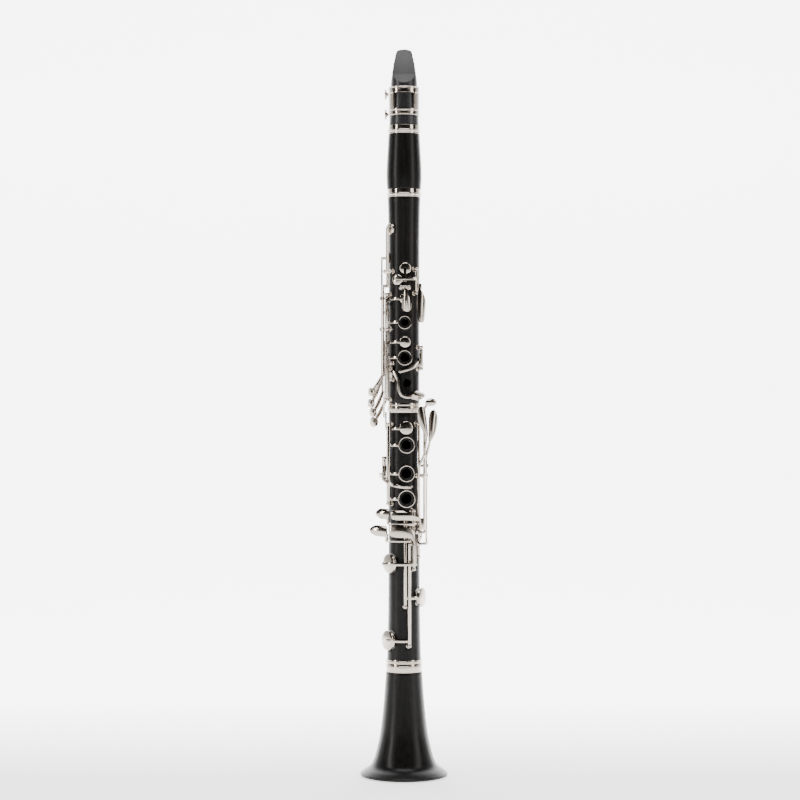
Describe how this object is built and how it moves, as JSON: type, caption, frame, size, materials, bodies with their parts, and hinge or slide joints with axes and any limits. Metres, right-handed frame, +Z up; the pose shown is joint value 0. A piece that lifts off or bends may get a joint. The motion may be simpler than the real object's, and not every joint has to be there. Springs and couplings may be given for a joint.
{
  "type": "soprano clarinet",
  "caption": "Upright black wooden clarinet with silver-plated ring keys, sprung padded keys, barrel, flared bell and a ligatured mouthpiece.",
  "frame": {"origin": "centre of the mouth of the bell, on the plane it stands on", "axes": "+Z up the bore towards the mouthpiece; the finger holes face -Y; +X is the left hand side of the player"},
  "size_m": [0.0804, 0.0804, 0.667],
  "materials": {
    "grenadilla": "oiled satin black hardwood",
    "ebonite": "polished hard rubber",
    "silver_plate": "silver-plated nickel silver",
    "rod_steel": "turned steel rod",
    "pad_skin": "thin skin over felt",
    "cork": "greased cork sheet",
    "cane": "cut cane"
  },
  "bodies": {
    "clarinet_body": {"bell": "grenadilla", "bell_ring": "silver_plate", "lower_joint": "grenadilla", "joint_rings": "silver_plate", "tenon_corks": "cork", "upper_joint": "grenadilla", "tone_hole_tubes": "silver_plate", "upper_posts": "silver_plate", "lower_posts": "silver_plate", "hinge_rods": "rod_steel", "thumb_rest_plate": "silver_plate"},
    "barrel_and_mouthpiece": {"barrel": "grenadilla", "barrel_rings": "silver_plate", "mouthpiece": "ebonite", "mouthpiece_cork": "cork", "reed": "cane", "ligature": "silver_plate"},
    "ligature_screw_upper": {"ligature_screw_upper": "silver_plate"},
    "ligature_screw_lower": {"ligature_screw_lower": "silver_plate"},
    "thumb_rest": {"thumb_rest": "silver_plate"},
    "thumb_rest_screw": {"thumb_rest_screw": "silver_plate"},
    "register_key": {"register_key": "silver_plate", "register_pad": "pad_skin"},
    "thumb_ring_key": {"thumb_ring_key": "silver_plate"},
    "a_key": {"a_key": "silver_plate", "a_pad": "pad_skin"},
    "gsharp_key": {"gsharp_key": "silver_plate", "gsharp_pad": "pad_skin"},
    "first_ring_key": {"first_ring_key": "silver_plate", "first_ring_pad": "pad_skin"},
    "second_ring_key": {"second_ring_key": "silver_plate", "second_ring_pad": "pad_skin"},
    "cross_key": {"cross_key": "silver_plate", "cross_pad": "pad_skin"},
    "csharp_key": {"csharp_key": "silver_plate", "csharp_pad": "pad_skin"},
    "side_key_1": {"side_key_1": "silver_plate", "side_pad_1": "pad_skin"},
    "side_key_2": {"side_key_2": "silver_plate", "side_pad_2": "pad_skin"},
    "side_key_3": {"side_key_3": "silver_plate", "side_pad_3": "pad_skin"},
    "side_key_4": {"side_key_4": "silver_plate", "side_pad_4": "pad_skin"},
    "lower_ring_key": {"lower_ring_key": "silver_plate", "lower_ring_pad": "pad_skin"},
    "sliver_key": {"sliver_key": "silver_plate", "sliver_pad": "pad_skin"},
    "aflat_key": {"aflat_key": "silver_plate", "aflat_pad": "pad_skin"},
    "f_key": {"f_key": "silver_plate"},
    "f_pad_key": {"f_pad_key": "silver_plate", "f_pad": "pad_skin"},
    "fsharp_key": {"fsharp_key": "silver_plate", "fsharp_pad": "pad_skin"},
    "e_key": {"e_key": "silver_plate", "e_pad": "pad_skin"},
    "left_e_lever": {"left_e_lever": "silver_plate"},
    "left_f_lever": {"left_f_lever": "silver_plate"},
    "left_fsharp_lever": {"left_fsharp_lever": "silver_plate"}
  },
  "joints": [
    {"name": "barrel_pull", "type": "slide", "parent": "clarinet_body", "child": "barrel_and_mouthpiece", "axis": [0, 0, 1], "range_m": [0, 0.004]},
    {"name": "ligature_screw_upper_turn", "type": "hinge", "parent": "barrel_and_mouthpiece", "child": "ligature_screw_upper", "pos_m": [0, 0.0162, 0.6262], "axis": [1, 0, 0], "continuous": true},
    {"name": "ligature_screw_lower_turn", "type": "hinge", "parent": "barrel_and_mouthpiece", "child": "ligature_screw_lower", "pos_m": [0, 0.0162, 0.6077], "axis": [1, 0, 0], "continuous": true},
    {"name": "thumb_rest_slide", "type": "slide", "parent": "clarinet_body", "child": "thumb_rest", "axis": [0, 0, 1], "range_m": [-0.006, 0.004]},
    {"name": "thumb_rest_screw_turn", "type": "hinge", "parent": "thumb_rest", "child": "thumb_rest_screw", "pos_m": [0, 0.018, 0.302], "axis": [0, 1, 0], "continuous": true},
    {"name": "register_hinge", "type": "hinge", "parent": "clarinet_body", "child": "register_key", "pos_m": [0, 0.0182, 0.462], "axis": [-1, 0, 0], "range_deg": [0, 5], "stiffness_Nm_per_rad": 0.02, "springref_deg": -17.19},
    {"name": "thumb_ring_hinge", "type": "hinge", "parent": "clarinet_body", "child": "thumb_ring_key", "pos_m": [-0.0093, 0.01611, 0.42], "axis": [0, 0, 1], "range_deg": [-5, 0], "stiffness_Nm_per_rad": 0.02, "springref_deg": 17.19},
    {"name": "a_hinge", "type": "hinge", "parent": "clarinet_body", "child": "a_key", "pos_m": [0.00093, -0.01778, 0.4466], "axis": [0.9986, 0.0523, 0], "range_deg": [0, 5], "stiffness_Nm_per_rad": 0.02, "springref_deg": -17.19},
    {"name": "gsharp_hinge", "type": "hinge", "parent": "clarinet_body", "child": "gsharp_key", "pos_m": [0.01145, -0.01466, 0.452], "axis": [0, 0, 1], "range_deg": [0, 7], "stiffness_Nm_per_rad": 0.02, "springref_deg": -17.19},
    {"name": "first_ring_hinge", "type": "hinge", "parent": "clarinet_body", "child": "first_ring_key", "pos_m": [-0.01569, -0.00999, 0.424], "axis": [0, 0, 1], "range_deg": [0, 4], "stiffness_Nm_per_rad": 0.02, "springref_deg": -17.19},
    {"name": "second_ring_hinge", "type": "hinge", "parent": "clarinet_body", "child": "second_ring_key", "pos_m": [-0.01569, -0.00999, 0.376], "axis": [0, 0, 1], "range_deg": [0, 4], "stiffness_Nm_per_rad": 0.02, "springref_deg": -17.19},
    {"name": "cross_hinge", "type": "hinge", "parent": "clarinet_body", "child": "cross_key", "pos_m": [0.01542, -0.0104, 0.382], "axis": [0, 0, 1], "range_deg": [-8, 0], "stiffness_Nm_per_rad": 0.02, "springref_deg": 17.19},
    {"name": "csharp_hinge", "type": "hinge", "parent": "clarinet_body", "child": "csharp_key", "pos_m": [-0.01188, -0.01188, 0.37], "axis": [0, 0, 1], "range_deg": [0, 5], "stiffness_Nm_per_rad": 0.02, "springref_deg": -17.19},
    {"name": "side_hinge_1", "type": "hinge", "parent": "clarinet_body", "child": "side_key_1", "pos_m": [-0.01535, -0.00997, 0.4613], "axis": [0.5446, -0.8387, 0], "range_deg": [0, 1.3], "stiffness_Nm_per_rad": 0.02, "springref_deg": -17.19},
    {"name": "side_hinge_2", "type": "hinge", "parent": "clarinet_body", "child": "side_key_2", "pos_m": [-0.02037, -0.00107, 0.437], "axis": [0.0523, -0.9986, 0], "range_deg": [0, 1.6], "stiffness_Nm_per_rad": 0.02, "springref_deg": -17.19},
    {"name": "side_hinge_3", "type": "hinge", "parent": "clarinet_body", "child": "side_key_3", "pos_m": [-0.01966, 0.00545, 0.409], "axis": [-0.2672, -0.9636, 0], "range_deg": [0, 2.8], "stiffness_Nm_per_rad": 0.02, "springref_deg": -17.19},
    {"name": "side_hinge_4", "type": "hinge", "parent": "clarinet_body", "child": "side_key_4", "pos_m": [-0.01671, 0.0117, 0.386], "axis": [-0.5736, -0.8192, 0], "range_deg": [0, 3.4], "stiffness_Nm_per_rad": 0.02, "springref_deg": -17.19},
    {"name": "lower_ring_hinge", "type": "hinge", "parent": "clarinet_body", "child": "lower_ring_key", "pos_m": [-0.01414, -0.01208, 0.286], "axis": [0, 0, 1], "range_deg": [0, 2.88], "stiffness_Nm_per_rad": 0.02, "springref_deg": -17.19},
    {"name": "sliver_hinge", "type": "hinge", "parent": "clarinet_body", "child": "sliver_key", "pos_m": [-0.01832, -0.00323, 0.281], "axis": [0, 0, 1], "range_deg": [0, 7], "stiffness_Nm_per_rad": 0.02, "springref_deg": -17.19},
    {"name": "aflat_hinge", "type": "hinge", "parent": "clarinet_body", "child": "aflat_key", "pos_m": [0.01315, -0.01315, 0.217], "axis": [0, 0, 1], "range_deg": [-8, 0], "stiffness_Nm_per_rad": 0.02, "springref_deg": 17.19},
    {"name": "f_hinge", "type": "hinge", "parent": "clarinet_body", "child": "f_key", "pos_m": [0.00873, -0.01642, 0.235], "axis": [0, 0, 1], "range_deg": [-5, 0], "stiffness_Nm_per_rad": 0.02, "springref_deg": 17.19},
    {"name": "f_pad_hinge", "type": "hinge", "parent": "clarinet_body", "child": "f_pad_key", "pos_m": [0.0013, -0.01855, 0.196], "axis": [0, 0, 1], "range_deg": [0, 9], "stiffness_Nm_per_rad": 0.02, "springref_deg": -17.19},
    {"name": "fsharp_hinge", "type": "hinge", "parent": "clarinet_body", "child": "fsharp_key", "pos_m": [0.00873, -0.01642, 0.209], "axis": [0, 0, 1], "range_deg": [-7.5, 0], "stiffness_Nm_per_rad": 0.02, "springref_deg": 17.19},
    {"name": "e_hinge", "type": "hinge", "parent": "clarinet_body", "child": "e_key", "pos_m": [0.00488, -0.01795, 0.17], "axis": [0, 0, 1], "range_deg": [-8, 0], "stiffness_Nm_per_rad": 0.02, "springref_deg": 17.19},
    {"name": "left_e_hinge", "type": "hinge", "parent": "clarinet_body", "child": "left_e_lever", "pos_m": [0.02039, 0.00071, 0.284], "axis": [-0.0349, 0.9994, 0], "range_deg": [-1.96, 0], "stiffness_Nm_per_rad": 0.02, "springref_deg": 17.19},
    {"name": "left_f_hinge", "type": "hinge", "parent": "clarinet_body", "child": "left_f_lever", "pos_m": [0.01315, -0.01315, 0.277], "axis": [0, 0, 1], "range_deg": [0, 8.9], "stiffness_Nm_per_rad": 0.02, "springref_deg": -17.19},
    {"name": "left_fsharp_hinge", "type": "hinge", "parent": "clarinet_body", "child": "left_fsharp_lever", "pos_m": [0.01864, -0.0083, 0.2751], "axis": [0.4067, 0.9135, 0], "range_deg": [-1.6, 0], "stiffness_Nm_per_rad": 0.02, "springref_deg": 17.19}
  ],
  "couplings": [
    {"joint": "first_ring_hinge", "follows": "thumb_ring_hinge", "ratio": -0.8},
    {"joint": "second_ring_hinge", "follows": "lower_ring_hinge", "ratio": 1.388},
    {"joint": "f_pad_hinge", "follows": "f_hinge", "ratio": -1.8},
    {"joint": "left_f_hinge", "follows": "f_hinge", "ratio": -1.76},
    {"joint": "left_e_hinge", "follows": "e_hinge", "ratio": 0.245},
    {"joint": "left_fsharp_hinge", "follows": "fsharp_hinge", "ratio": 0.213}
  ]
}
